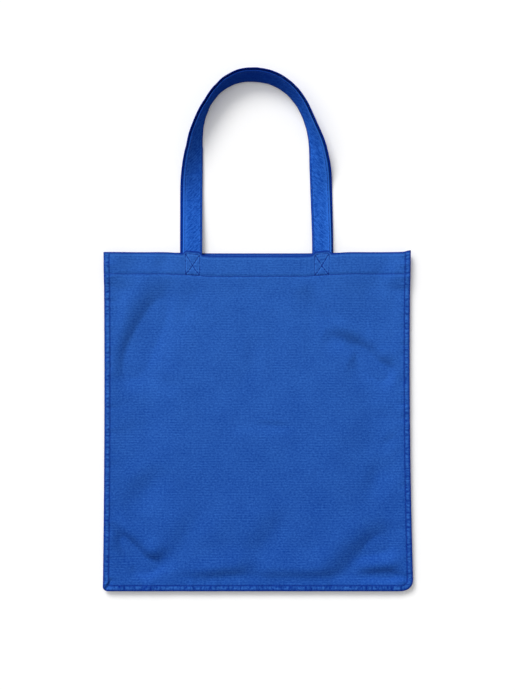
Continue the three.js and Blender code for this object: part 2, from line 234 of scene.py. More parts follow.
class BagCut(bpy.types.PropertyGroup):
    """How the panels are cut and folded"""

    width: length("Width", "Width of the bag between its side folds", 0.380)
    height: length("Height", "Height of the bag from its bottom fold to its mouth", 0.420)
    fabric: length("Fabric", "Thickness of one layer of fabric", 0.0005)
    fold_gap: length("Fold gap", "Gap between two layers of a fold", 0.0002)
    piece_gap: length("Piece gap", "Gap between two pieces that touch", 0.0003)
    allowance: length("Seam allowance", "Fabric turned in along the sides and the bottom", 0.012)
    hem: length("Hem", "Fabric turned in at the mouth", 0.029)
    left_radius: length("Left corner radius", "Radius of the lower left corner", 0.006)
    right_radius: length("Right corner radius", "Radius of the lower right corner", 0.015)
    left_flare: length("Left flare", "How far the left side spreads at the bottom", 0.0013)
    right_flare: length("Right flare", "How far the right side spreads at the bottom", 0.0036)
    left_waist: length("Left waist", "How far the left side draws in at half its height", 0.0010)
    right_waist: length("Right waist", "How far the right side draws in at half its height", 0.0016)
    corner_rise: length("Corner rise", "How far the front panel's right top corner stands up", 0.0022)
    corner_rise_width: length("Corner rise width", "How far from the side it stands up", 0.007)


class BagLay(bpy.types.PropertyGroup):
    """How the bag lies on the table"""

    place: FloatVectorProperty(
        name="Place",
        description="Where the middle of the bag's bottom edge lies in the frame",
        default=(-0.000822, -0.322726, 0.0),
        subtype="TRANSLATION",
    )
    inner_height: length("Inner height", "Height between the panels well inside the seams", 0.0085)
    puff_width: length("Puff width", "How far inside the seams that height is reached", 0.090)
    edge_lift: length("Edge lift", "How far the sewn edges stand off the table", 0.005)
    edge_lift_width: length("Edge lift width", "How far inside the edges the bag lies down", 0.060)
    mouth_lift: length("Mouth lift", "How far the back panel's mouth stands off the table", 0.0008)
    mouth_lift_run: length("Mouth lift run", "How far below the hem that lift begins", 0.025)
    corner_ramp: length("Corner ramp", "How far below the hem the top corners' extra layers begin", 0.020)
    corner_spread: length("Corner spread", "How far inwards those extra layers show", 0.030)
    front_sag: length("Front sag", "How far the front panel's mouth sags between the handles", 0.0046)
    back_sag: length("Back sag", "How far the back panel's mouth sags between the handles", 0.0011)
    sag_reach: length("Sag reach", "How far below the mouth the sag begins", 0.070)
    sag_inner: length("Sag inner", "Half the width of the full sag", 0.050)
    sag_outer: length("Sag outer", "Half the width beyond which there is no sag", 0.120)
    bulge: length("Bulge", "How far the front hem bulges over each handle", 0.0040)
    bulge_half: length("Bulge half width", "Half the width of that bulge", 0.0105)
    bulge_reach: length("Bulge reach", "How far below the mouth the bulge begins", 0.022)


class BagStrap(bpy.types.PropertyGroup):
    """How the handles are cut and how they lie"""

    width: length("Width", "Width of the folded strap", 0.024)
    spacing: length("Spacing", "Distance between the middles of a handle's two ends", 0.160)
    tail: length("Tail", "Length of strap sewn behind the hem", 0.027)
    leg: length("Leg", "Length of the nearly straight part above the mouth", 0.129)
    left_lean: length("Left lean", "How far the left leg leans inwards", 0.0002)
    right_lean: length("Right lean", "How far the right leg leans inwards", 0.0032)
    rise: length("Arch rise", "Height of the arch over the legs", 0.0833)
    skew: length("Arch skew", "How far the top of the arch lies to the left", 0.005)
    fullness: share("Arch fullness", "Power that rounds out the arch", 0.91)
    back_offset: length("Back offset", "How far the back handle shows outside the front one", 0.0037)
    back_draw: length("Back draw", "How much less of its right leg shows at the mouth", 0.0014)
    settle: length("Settling", "Length over which a handle comes down from the mouth", 0.085)
    pile_gap: length("Pile gap", "Gap between the two handles where they lie on each other", 0.001)
    rest_gap: length("Rest gap", "How far the back handle's face stays off the table", 0.0006)
    left_roll: turn("Left roll", "How far the left shoulder rolls onto its inner edge", 82)
    apex_roll: turn("Apex roll", "How far the top of the arch rolls onto its inner edge", 67.5)
    right_roll: turn("Right roll", "How far the right shoulder rolls onto its inner edge", 72)
    left_start: length("Left roll start", "Where the left leg begins to roll", 0.055)
    left_at: length("Left shoulder", "Where the left shoulder is", 0.190)
    right_start: length("Right roll start", "Where the right leg begins to roll", 0.072)
    right_at: length("Right shoulder", "Where the right shoulder is", 0.170)


class BagSewing(bpy.types.PropertyGroup):
    """Where the rows of stitches run and how they look"""

    seam_inset: length("Seam inset", "From the folded edge to the seam's row", 0.007)
    hem_inset: length("Hem inset", "From the hem's lower edge to its row", 0.002)
    row_end: length("Row end", "From the mouth to the end of the seam's row", 0.002)
    box_width: length("Box width", "Width of the boxes that hold the handles", 0.018)
    box_top: length("Box top", "From the mouth to the top of the boxes", 0.0035)
    strap_inset: length("Strap inset", "From a handle's edges to its rows", 0.0024)
    stitch: length("Stitch", "Length of one stitch and the hole after it", 0.0031)
    thread: length("Thread", "Thickness of the thread", 0.00055)
    bite: length("Bite", "How far a stitch's ends sink into the fabric", 0.0002)


class BagRelief(bpy.types.PropertyGroup):
    """How the fabric is puckered, pressed and creased"""

    groove: length("Groove", "How deep a row of stitches pulls into the fabric", 0.00045)
    groove_width: length("Groove width", "Half the width of that groove", 0.0011)
    pucker: length("Pucker", "Height of the puckers along the seams", 0.0009)
    pucker_short: length("Pucker pitch", "Length of a pucker along the seam", 0.0065)
    pucker_long: length("Pucker length", "Length of a pucker across the seam", 0.022)
    pucker_reach: length("Pucker reach", "How far from the seam puckers reach", 0.008)
    gather: length("Gather", "Height of the gathers that the sides draw in the front panel", 0.0011)
    gather_pitch: length("Gather pitch", "Length of a gather along the side", 0.021)
    gather_reach: length("Gather reach", "How far inwards the gathers reach", 0.038)
    hang: length("Hang", "Height of the faint upright folds below the handles", 0.0004)
    hang_pitch: length("Hang pitch", "Distance between those folds", 0.011)
    hang_reach: length("Hang reach", "How far down from the hem they reach", 0.150)
    ripple: length("Ripple", "Height of the broad unevenness of the front panel", 0.0009)
    ripple_size: length("Ripple size", "Size of that unevenness", 0.050)
    rim: share("Rim", "Height of the rim to the left of a dent, as a share of its depth", 0.3)
    rim_offset: share("Rim offset", "How far out that rim lies, in widths of the left flank", 1.8)
    crumple: length("Crumple", "Height of the small unevenness of the front panel", 0.00016)
    crumple_size: length("Crumple size", "Size of that small unevenness", 0.013)
    droop: length("Droop", "How far the folded edges hang down at their rim", 0.0006)
    droop_width: length("Droop width", "How far from the rim they hang down", 0.0018)
    hem_puff: length("Hem puff", "How far the hem stands over the panel", 0.0004)
    hem_pucker: length("Hem pucker", "Height of the puckers along the hem's row", 0.0004)
    strap_crease: length("Strap crease", "Height of the handles' creases", 0.00045)
    strap_crease_size: length("Strap crease size", "Distance between the handles' creases", 0.008)


class BagWeave(bpy.types.PropertyGroup):
    """The texture of the non-woven fabric, whose heights run from about 0 to 1, and the light and shade
    painted into its colour
    """

    rib_pitch: length("Rib pitch", "Distance between two pressed ribs", 0.0032)
    rib_bend: share("Rib bend", "How far the ribs wander, in radians of their wave", 5.0)
    rib_bend_size: length("Rib bend size", "Distance over which they wander", 0.045)
    rib_patch: length("Rib patch", "Size of the patches where the ribs show", 0.024)
    ribs: share("Ribs", "Share of the ribs in the panels' texture", 0.07)
    dot_pitch: length("Dot pitch", "Distance between two pressed dots", 0.0016)
    dots: share("Dots", "Share of the pressed dots in the texture", 0.10)
    grain_size: length("Grain size", "Size of the fabric's grain", 0.0021)
    grain: share("Grain", "Share of the grain in the texture", 0.62)
    fibre_size: length("Fibre size", "Size of the fibres' clumps", 0.0009)
    fibres: share("Fibres", "Share of the fibres in the texture", 0.36)
    pressed: length("Pressed", "How deep the texture is pressed", 0.00013)
    blotch_size: length("Blotch size", "Size of the faint blotches in the colour", 0.030)
    blotch: share("Blotch", "Strength of the blotches", 0.35)
    contrast: share("Contrast", "How strongly the texture shows in the colour", 1.9)
    lightness: share("Lightness", "Where the colour lies between deep and pale at the mouth", 0.57)
    # Fade paints shade into the colour, deeper towards the bottom, in place of light that falls off there
    fade: share("Fade", "How much deeper the colour is at the bottom", 0.28)
    fleck_size: length("Fleck size", "Size of the dark flecks in the seams' strips", 0.0030)
    fleck_stretch: share("Fleck stretch", "How much longer they are across the seam", 2.6)
    # Rim width is the width of the painted shade along folded edges; the mouth's painted highlight and the
    # handles' painted edge and fold marks are measured in it too
    shaded_rim_width: length("Rim width", "Width of the dark rim along a folded edge", 0.0020)
    # The pale line along the strip is a painted highlight on its ridge
    strip_highlight_at: length("Strip light", "From the folded edge to the pale line along the strip", 0.0040)
    row_width: length("Row width", "Half the width of a row of needle holes", 0.0006)
    seam_width: length("Seam width", "Half the width of the seam's own row", 0.0010)
    streak_size: length("Streak size", "Width of the slanting streaks on the handles", 0.0022)
    streak_stretch: share("Streak stretch", "How much longer they are than wide", 5.0)
    streaks: share("Streaks", "Strength of the streaks", 1.6)
    # These paint shade into the handles' colour round the arch, where they roll onto their edges and face
    # away from the light, deepest at its top
    arch_shade_at: length("Deep at", "Where along a handle its colour turns deep", 0.205)
    arch_shade_reach: length("Deep reach", "How far from there it turns plain again", 0.120)
    deep: share("Deep", "How deep it is there", 0.38)
    apex_shade: share("Apex deep", "How much deeper it is at the top of the arch", 0.36)
    apex_shade_reach: length("Apex reach", "How far from the top of the arch that reaches", 0.072)


class BagLooks(bpy.types.PropertyGroup):
    """The colours, and the light and camera"""

    panel_deep: colour("Panel, deep", "Colour of the panels in the hollows", (0.0045, 0.0480, 0.300))
    panel_pale: colour("Panel, pale", "Colour of the panels on the raised fibres", (0.0340, 0.1500, 0.540))
    strap_deep: colour("Strap, deep", "Colour of the handles in the hollows", (0.0040, 0.0500, 0.340))
    strap_pale: colour("Strap, pale", "Colour of the handles on the raised fibres", (0.0300, 0.1560, 0.640))
    # Navy is also the colour of the painted shade along the panels' rims and the handles' edges, back fold
    # and arch
    navy: colour("Navy", "Colour in the rows, rims and deep folds", (0.0003, 0.0130, 0.215))
    sewing: colour("Thread", "Colour of the thread", (0.0050, 0.0500, 0.290))
    floor: colour("Floor", "Colour of the table", (0.95, 0.95, 0.95))
    floor_glow: share("Floor glow", "Light that the table adds for the camera alone", 0.08)
    key: FloatProperty(name="Key light", description="Strength of the low light", default=2.0)
    key_height: turn("Key height", "Height of the low light over the table", 38)
    key_side: turn("Key side", "Direction of the low light from +X", 117)
    key_size: turn("Key size", "How wide the low light looks", 26)
    wide: FloatProperty(name="Wide light", description="Strength of the wide light", default=1.4)
    wide_height: turn("Wide height", "Height of the wide light over the table", 50)
    wide_side: turn("Wide side", "Direction of the wide light from +X", 130)
    wide_size: turn("Wide size", "How wide the wide light looks", 84)
    room: share("Room light", "Strength of the light from all round", 0.28)
    camera_height: length("Camera height", "Height of the camera over the table", 1.6)
    camera_middle: FloatVectorProperty(
        name="Camera middle",
        description="Where on the table the camera looks straight down",
        default=(-0.00042, -0.0177),
        size=2,
        subtype="XYZ",
    )
    view_height: length("View height", "How much of the table the picture shows from top to bottom", 0.858)


def smooth(value):
    t = min(max(value, 0.0), 1.0)
    return t * t * (3 - 2 * t)


def climb(value, start, run):
    """From 0 up to start to 1 after run, smoothly"""
    return smooth((value - start) / run)


def bell(distance, width):
    """1 at zero, falling away over width"""
    return math.exp(-((distance / width) ** 2))


def even(first, last, spacing):
    """Values from first to last, both included, about spacing apart"""
    count = max(1, round(abs(last - first) / spacing))
    return [first + (last - first) * i / count for i in range(count + 1)]


def uneven(x, y, across, along, layer):
    """Smooth noise from -1 to 1 with its own size in each direction"""
    return noise.noise(Vector((x / across, y / along, layer)))


class BagShape:
    """The bag's surfaces. x is 0 at the bag's middle and y is 0 at its bottom edge."""

    def __init__(self, scene):
        bag = scene.bag
        self.cut = bag.cut
        self.lay = bag.lay
        self.strap = bag.strap
        self.sewing = bag.sewing
        self.relief = bag.relief
        self.half_width = self.cut.width / 2
        self.height = self.cut.height
        self.half_fabric = self.cut.fabric / 2
        self.pitch = self.cut.fabric + self.cut.fold_gap
        self.fold = self.pitch / 2
        self.sewn_stack = 4 * self.fold + self.cut.fabric + self.cut.piece_gap
        self.hem_edge = self.height - self.cut.hem
        self.hem_row = self.hem_edge + self.sewing.hem_inset
        self.mitre = self.cut.allowance + 2 * self.cut.piece_gap
        self.half_strap = (self.pitch + self.cut.fabric) / 2
        self.strap_x = self.strap.spacing / 2
        self.box_top = self.height - self.sewing.box_top
        self.place = Vector(self.lay.place)

    def from_side(self, x):
        return self.half_width - abs(x)

    def inside_share(self, x, y, start, width):
        return climb(self.from_side(x), start, width) * climb(y, start, width)

    def off_seams(self, x, y):
        return self.inside_share(x, y, self.sewing.seam_inset, 2 * self.cut.allowance)

    def side_fold(self, y):
        ramp = self.lay.corner_ramp
        return self.fold + self.pitch * climb(y, self.hem_edge - ramp, ramp)

    def sewn_height(self, x, y):
        """Height between the middles of the two panels' main layers where they are sewn together"""
        over = 1 - climb(self.from_side(x), self.mitre, self.lay.corner_spread)
        return self.sewn_stack + 4 * (self.side_fold(y) - self.fold) * over

    def dent_depth(self, x, y, dents):
        """How deep a place lies in a set of dents, each with a low rim at its left"""
        total = 0.0
        for start, end, depth, left, right in dents:
            from_x = x - start[0] * self.half_width
            from_y = y - start[1] * self.height
            run_x = (end[0] - start[0]) * self.half_width
            run_y = (end[1] - start[1]) * self.height
            reach = math.hypot(run_x, run_y)
            along = (from_x * run_x + from_y * run_y) / reach**2
            if 0 < along < 1:
                across = (from_y * run_x - from_x * run_y) / reach
                hollow = bell(across, left if across > 0 else right)
                if depth > 0:
                    hollow -= self.relief.rim * bell(across - self.relief.rim_offset * left, left)
                total += depth * smooth(4 * along * (1 - along)) * hollow
        return total

    def pucker(self, x, y):
        """Puckers that the seam draws in both panels together"""
        relief = self.relief
        row = self.sewing.seam_inset
        side = bell(self.from_side(x) - row, relief.pucker_reach)
        bottom = bell(y - row, relief.pucker_reach)
        short, long = relief.pucker_short, relief.pucker_long
        up_sides = side * uneven(x, y, long, short, SIDE_PUCKER_LAYER)
        along_bottom = bottom * uneven(x, y, short, long, BOTTOM_PUCKER_LAYER)
        return relief.pucker * (up_sides + along_bottom)

    def hem_relief(self, x, y):
        relief = self.relief
        above = y - self.hem_row
        puff = relief.hem_puff * smooth(above / (4 * relief.groove_width))
        row = relief.hem_pucker * bell(above, relief.pucker_reach / 2)
        over_strap = bell(abs(x) - self.strap_x, self.strap.width / 2)
        drawn = uneven(x, y, relief.pucker_short, relief.pucker_long, HEM_PUCKER_LAYER)
        pucker = row * (1 - over_strap) * drawn
        return puff + pucker - relief.groove * bell(above, relief.groove_width)

    def box_relief(self, x, y):
        """The grooves of a box with a cross, pulled in over a handle's end"""
        half = self.sewing.box_width / 2
        off = abs(abs(x) - self.strap_x)
        low, high = self.hem_row, self.box_top
        width = self.relief.groove_width
        beyond = 3 * width
        if off > half + beyond or y < low:
            return 0.0
        rise = (high - low) / 2
        up = abs(y - (low + rise))
        slope = rise / half
        cross = abs(up - slope * off) / math.hypot(1, slope)
        nearest = min(
            abs(off - half) if up < rise else beyond,
            abs(up - rise) if off < half else beyond,
            cross if off < half and up < rise else beyond,
        )
        return self.relief.groove * bell(nearest, width)

    def resting_height(self, x, y):
        """The back panel's height where nothing presses on it"""
        lay = self.lay
        lifted = lay.edge_lift * (1 - self.inside_share(x, y, 0.0, lay.edge_lift_width))
        mouth = lay.mouth_lift * climb(y, self.hem_edge - lay.mouth_lift_run, lay.mouth_lift_run)
        inset = min(self.from_side(x), y)
        droop = self.relief.droop * bell(inset, self.relief.droop_width)
        pinched = self.dent_depth(x, y, PINCHES)
        return self.half_fabric + lifted + mouth + self.pucker(x, y) - droop - pinched

    def pressed_height(self, x, y):
        """The least height between the panels, which a dent can't go below"""
        return self.sewn_height(x, y) + self.cut.piece_gap * self.off_seams(x, y)

    def dented_height(self, x, y):
        """The front panel's height without its fine relief"""
        puffed = self.inside_share(x, y, self.sewing.seam_inset, self.lay.puff_width)
        room = (self.lay.inner_height - self.sewn_stack) * puffed
        opened = self.resting_height(x, y) + self.sewn_height(x, y) + room
        dented = self.dent_depth(x, y, DENTS) * self.off_seams(x, y)
        return opened - min(dented, opened - self.pressed_height(x, y) - self.half_fabric)

    def back_height(self, x, y):
        """The back panel's height, also where a deep dent presses it down"""
        return min(self.resting_height(x, y), self.dented_height(x, y) - self.pressed_height(x, y))

    def fine_relief(self, x, y):
        """The front panel's ripples, gathers, upright folds and creases"""
        relief = self.relief
        broad = relief.ripple * uneven(x, y, relief.ripple_size, relief.ripple_size, RIPPLE_LAYER)
        small = relief.crumple * uneven(x, y, relief.crumple_size, relief.crumple_size, CRUMPLE_LAYER)
        drawn = uneven(x, y, relief.gather_reach, relief.gather_pitch, GATHER_LAYER)
        near_seam = bell(self.from_side(x) - self.sewing.seam_inset, relief.gather_reach)
        gathers = relief.gather * near_seam * drawn
        down = self.hem_edge - y
        below = smooth(down / relief.hang_pitch) * bell(down, relief.hang_reach)
        hanging = relief.hang * below * uneven(x, y, relief.hang_pitch, relief.hang_reach, HANG_LAYER)
        return broad + small + gathers + hanging - self.dent_depth(x, y, CREASES)

    def front_height(self, x, y):
        relief = self.relief
        inset = min(self.from_side(x), y)
        seam_groove = relief.groove * bell(inset - self.sewing.seam_inset, relief.groove_width) / 2
        shaped = self.fine_relief(x, y) * self.off_seams(x, y)
        relieved = self.hem_relief(x, y) - self.box_relief(x, y) - seam_groove
        return self.dented_height(x, y) + shaped + relieved

    def rounded(self, x, y, radius):
        """How far out and how high a place lies once the lower corner is rounded"""
        out = abs(x) - (self.half_width - radius)
        down = radius - y
        if out <= 0 or down <= 0:
            return abs(x), y
        drawn = max(out, down) / math.hypot(out, down)
        return self.half_width - radius + out * drawn, radius - down * drawn

    def mouth_shift(self, x, y, front):
        """How far up the mouth's sag, and the front's bulges and right corner, move a place"""
        lay = self.lay
        sag = lay.front_sag if front else lay.back_sag
        across = 1 - climb(abs(x), lay.sag_inner, lay.sag_outer - lay.sag_inner)
        shift = -sag * across * climb(y, self.height - lay.sag_reach, lay.sag_reach)
        if front:
            off = abs(abs(x) - self.strap_x) / lay.bulge_half
            near = 1 - climb(off, BULGE_FADE_START, BULGE_FADE)
            shift += lay.bulge * near * climb(y, self.height - lay.bulge_reach, lay.bulge_reach)
        if front and x >= 0:
            near_side = bell(self.from_side(x), self.cut.corner_rise_width)
            shift += self.cut.corner_rise * near_side * climb(y, self.hem_edge, self.cut.hem)
        return shift

    def in_plan(self, x, y, front):
        """Where a place on the cloth lies seen from above, with flared and drawn-in sides"""
        left = x < 0
        reach, height = self.rounded(x, y, self.cut.left_radius if left else self.cut.right_radius)
        flare = self.cut.left_flare if left else self.cut.right_flare
        waist = self.cut.left_waist if left else self.cut.right_waist
        up = y / self.height
        spread = (flare * (1 - up) ** 2 - 4 * waist * up * (1 - up)) / self.half_width
        return math.copysign(reach * (1 + spread), x), height + self.mouth_shift(x, y, front)

    def point(self, x, y, front, above=0.0):
        """A place over the middle of a panel's main layer, in the frame"""
        px, py = self.in_plan(x, y, front)
        z = self.front_height(x, y) if front else self.back_height(x, y)
        return Vector((px, py, z + above)) + self.place

    def side_stations(self, spacing):
        """The columns of a panel's pattern, from one raw side edge to the other"""
        edge = 4 * self.fold
        allowance = self.cut.allowance
        flap = [(math.pi, inset) for inset in even(allowance, edge, 3 * self.cut.fabric)]
        fold = [(angle, None) for angle in (math.pi, *reversed(BEND), 0.0)]
        strip = [(0.0, inset) for inset in even(edge, allowance, 2 * self.cut.fabric)]
        left = [(-1, angle, inset) for angle, inset in flap + fold + strip]
        right = [(1, angle, inset) for angle, inset in reversed(flap + fold + strip)]
        inner = [(-1 if x < 0 else 1, 0.0, self.from_side(x)) for x in self.middle_columns(spacing)]
        return left + inner + right

    def middle_columns(self, spacing):
        """Across the main layer inside its allowances, closer together at the handles' ends"""
        end = self.half_width - self.mitre
        reach = self.sewing.box_width * STRAP_END_REACH
        near = self.strap_x - reach
        far = self.strap_x + reach
        half = even(spacing / 2, near, spacing)[:-1]
        half += even(near, far, spacing * STRAP_END_SHARE)
        half += even(far, end, spacing)[1:]
        return [-x for x in reversed(half)] + half

    def height_stations(self, spacing):
        """The rows of a panel's pattern, up the main layer, over the mouth's fold and down the hem"""
        bend = self.half_fabric + self.fold
        edge = 4 * self.fold
        allowance = self.cut.allowance
        ramp = self.hem_edge - self.lay.corner_ramp
        top = self.height - bend
        rows = [(y, math.pi, -1) for y in even(allowance, edge, 3 * self.cut.fabric)]
        rows += [(bend - self.fold * math.sin(angle), angle, -1) for angle in (math.pi, *reversed(BEND))]
        strip = [bend] + even(edge, allowance, 2 * self.cut.fabric)
        main = even(self.mitre, ramp, spacing)
        near_hem = even(ramp, self.hem_edge, spacing * NEAR_HEM_SHARE)[1:-1]
        hem = even(self.hem_edge, top, spacing * HEM_SHARE)
        rows += [(y, 0.0, 1) for y in strip + main + near_hem + hem]
        rows += [(top + self.fold * math.sin(angle), angle, 1) for angle in BEND]
        return rows + [(y, math.pi, 1) for y in reversed(hem)]

    def pattern_point(self, column, row):
        """Where the fabric lies at one column and row, and how far below the main layer"""
        side, angle, inset = column
        y, fold_angle, end = row
        hem_drop = self.fold * (1 - math.cos(fold_angle))
        gap = self.cut.piece_gap
        if angle > 0 and end > 0 and fold_angle == 0:
            edge = self.half_fabric + self.fold * (1 - math.sin(angle)) if inset is None else inset
            y = max(y, edge + gap)
        full = self.side_fold(y)
        radius = full - hem_drop if end > 0 else full
        reach = self.half_width - self.half_fabric - full + radius * math.sin(angle)
        if inset is not None:
            reach = self.half_width - inset
        if end < 0:
            row_inset = y if fold_angle == math.pi else self.half_fabric
            reach = min(reach, self.half_width - row_inset - gap)
        return side * reach, y, hem_drop + radius * (1 - math.cos(angle))


def new_mesh(name, points, faces, marks=None):
    """A smooth mesh object, with the place of each point on its cloth as a UV map"""
    mesh = bpy.data.meshes.new(name)
    mesh.from_pydata([tuple(p) for p in points], [], faces)
    mesh.polygons.foreach_set("use_smooth", [True] * len(mesh.polygons))
    if marks:
        layer = mesh.uv_layers.new(name="cloth")
        corners = []
        for loop in mesh.loops:
            corners.extend(marks[loop.vertex_index])
        layer.data.foreach_set("uv", corners)
    mesh.validate()
    piece = bpy.data.objects.new(name, mesh)
    bpy.context.scene.collection.objects.link(piece)
    return piece


def thicken(piece, thickness):
    """Gives a sheet its thickness, half to each side"""
    solid = piece.modifiers.new("Thickness", "SOLIDIFY")
    solid.thickness = thickness
    solid.offset = 0.0
    bpy.context.view_layer.update()
    made = piece.evaluated_get(bpy.context.evaluated_depsgraph_get())
    mesh = bpy.data.meshes.new_from_object(made)
    piece.modifiers.clear()
    piece.data = mesh


def finish_piece(piece, material, nodes):
    piece.data.materials.clear()
    piece.data.materials.append(material)
    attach(piece, BODY)
    if nodes:
        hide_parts(*nodes)


def folded_panel(shape, name, front, spacing):
    """One panel with its sides, bottom and hem folded in"""
    columns = shape.side_stations(spacing)
    rows = shape.height_stations(spacing)
    facing = 1 if front else -1
    points = []
    marks = []
    for row in rows:
        for column in columns:
            x, y, drop = shape.pattern_point(column, row)
            points.append(shape.point(x, y, front, -facing * drop))
            marks.append((x, y))
    faces = []
    count = len(columns)
    for j in range(len(rows) - 1):
        bottom_flap = rows[j][2] < 0
        for i in range(count - 1):
            side_flap = columns[i][1] > 0 or columns[i + 1][1] > 0
            if bottom_flap and side_flap:
                continue
            ring = [j * count + i, j * count + i + 1, (j + 1) * count + i + 1, (j + 1) * count + i]
            faces.append(ring if front else ring[::-1])
    piece = new_mesh(name, points, faces, marks)
    thicken(piece, shape.cut.fabric)
    return piece


class StrapShape:
    """One handle's surface: along it from its left end, and across it from its inner edge to its fold"""

    def __init__(self, shape, front):
        strap = shape.strap
        self.shape = shape
        self.front = front
        self.offset = 0.0 if front else strap.back_offset
        self.draw = 0.0 if front else strap.back_draw
        gaps = shape.cut.piece_gap + shape.half_strap + shape.pitch + shape.half_fabric
        inside = shape.inside_share(shape.strap_x, shape.height, 0.0, shape.lay.edge_lift_width)
        lifted = shape.lay.edge_lift * (1 - inside)
        plain_back = shape.half_fabric + lifted + shape.lay.mouth_lift
        if front:
            self.mouth = plain_back + shape.lay.inner_height - gaps
            self.pile = 2 * shape.half_strap + strap.pile_gap
        else:
            self.mouth = plain_back + gaps
            self.pile = strap.rest_gap
        self.points = self.path(self.offset, self.draw)
        self.along = self.distances(self.path(0.0, 0.0))
        self.total = self.along[-1] - strap.tail

    def path(self, offset, draw):
        """The inner edge seen from above, from the left end to the right end"""
        strap = self.shape.strap
        top = self.shape.height
        step = strap.width / STRAP_STEPS_ALONG
        inner = strap.spacing / 2 - strap.width / 2 + offset
        foot = top + strap.leg
        half = inner - (strap.left_lean + strap.right_lean) / 2
        middle = (strap.left_lean - strap.right_lean) / 2
        leg = even(top - strap.tail, foot, step)
        points = [Vector((strap.left_lean * climb(y, top, strap.leg) - inner, y)) for y in leg]
        for angle in even(math.pi, 0.0, step / strap.rise)[1:-1]:
            across = math.copysign(abs(math.cos(angle)) ** strap.fullness, math.cos(angle))
            rise = math.sin(angle) ** strap.fullness
            x = middle + half * across - strap.skew * rise
            points.append(Vector((x, foot + (strap.rise + offset) * rise)))
        for y in reversed(leg):
            up = climb(y, top, strap.leg)
            points.append(Vector((inner - strap.right_lean * up - draw * (1 - up), y)))
        return points

    def distances(self, points):
        """How far along the strap each point is, counted from the mouth"""
        along = [-self.shape.strap.tail]
        for before, after in zip(points, points[1:]):
            along.append(along[-1] + (after - before).length)
        return along

    def roll(self, distance):
        """How far the strap is turned onto its inner edge there"""
        strap = self.shape.strap
        keys = [
            (strap.left_start, 0.0),
            (strap.left_at, strap.left_roll),
            (self.total / 2, strap.apex_roll),
            (self.total - strap.right_at, strap.right_roll),
            (self.total - strap.right_start, 0.0),
        ]
        if not keys[0][0] < distance < keys[-1][0]:
            return 0.0
        after = next(i for i, key in enumerate(keys) if key[0] > distance)
        low, high = keys[after - 1], keys[after]
        return low[1] + (high[1] - low[1]) * climb(distance, low[0], high[0] - low[0])

    def crease(self, i, across):
        """Slanting creases, strongest where the strap is rolled"""
        relief = self.shape.relief
        along = self.along[i]
        rolled = self.roll(along) / self.shape.strap.left_roll
        size = relief.strap_crease_size
        x = along + CREASE_LEAN_ALONG * across
        y = across - CREASE_LEAN_ACROSS * along
        slant = uneven(x, y, size, CREASE_STRETCH * size, STRAP_CREASE_LAYER)
        fade = smooth(min(along, self.total - along) / self.shape.strap.settle)
        return relief.strap_crease * fade * (CREASE_FLAT + (1 - CREASE_FLAT) * rolled) * slant

    def place(self, i, across, over):
        """A place in the frame, over being its height over the middle of the folded strap"""
        points = self.points
        run = (points[min(i + 1, len(points) - 1)] - points[max(i - 1, 0)]).normalized()
        outward = Vector((-run.y, run.x, 0.0))
        roll = self.roll(self.along[i])
        up = Vector((0.0, 0.0, 1.0))
        leaning = outward * math.cos(roll) + up * math.sin(roll)
        facing = up * math.cos(roll) - outward * math.sin(roll)
        from_mouth = min(self.along[i], self.total - self.along[i])
        settled = smooth(from_mouth / self.shape.strap.settle)
        rest = self.shape.half_strap * math.cos(roll) + self.pile
        z = self.mouth + (rest - self.mouth) * settled
        origin = Vector((points[i].x, points[i].y, z))
        return origin + leaning * across + facing * (over + self.crease(i, across)) + self.shape.place

    def section(self):
        """The strap's folded section, from one raw edge round the fold to the other"""
        half = self.shape.pitch / 2
        end = self.shape.strap.width - self.shape.half_fabric - half
        step = self.shape.strap.width / STRAP_STEPS_ACROSS
        side = [(a, half) for a in even(0.0, end, step)]
        bend = [(end + half * math.sin(angle), half * math.cos(angle)) for angle in BEND]
        return side + bend + [(a, -half) for a, _ in reversed(side)]


def folded_strap(shape, name, front):
    strap = StrapShape(shape, front)
    section = strap.section()
    points = []
    marks = []
    for i in range(len(strap.points)):
        for across, over in section:
            points.append(strap.place(i, across, over))
            marks.append((across, strap.along[i]))
    count = len(section)
    faces = []
    for i in range(len(strap.points) - 1):
        for k in range(count - 1):
            a = i * count + k
            faces.append((a, a + count, a + count + 1, a + 1))
    piece = new_mesh(name, points, faces, marks)
    thicken(piece, shape.cut.fabric)
    return piece


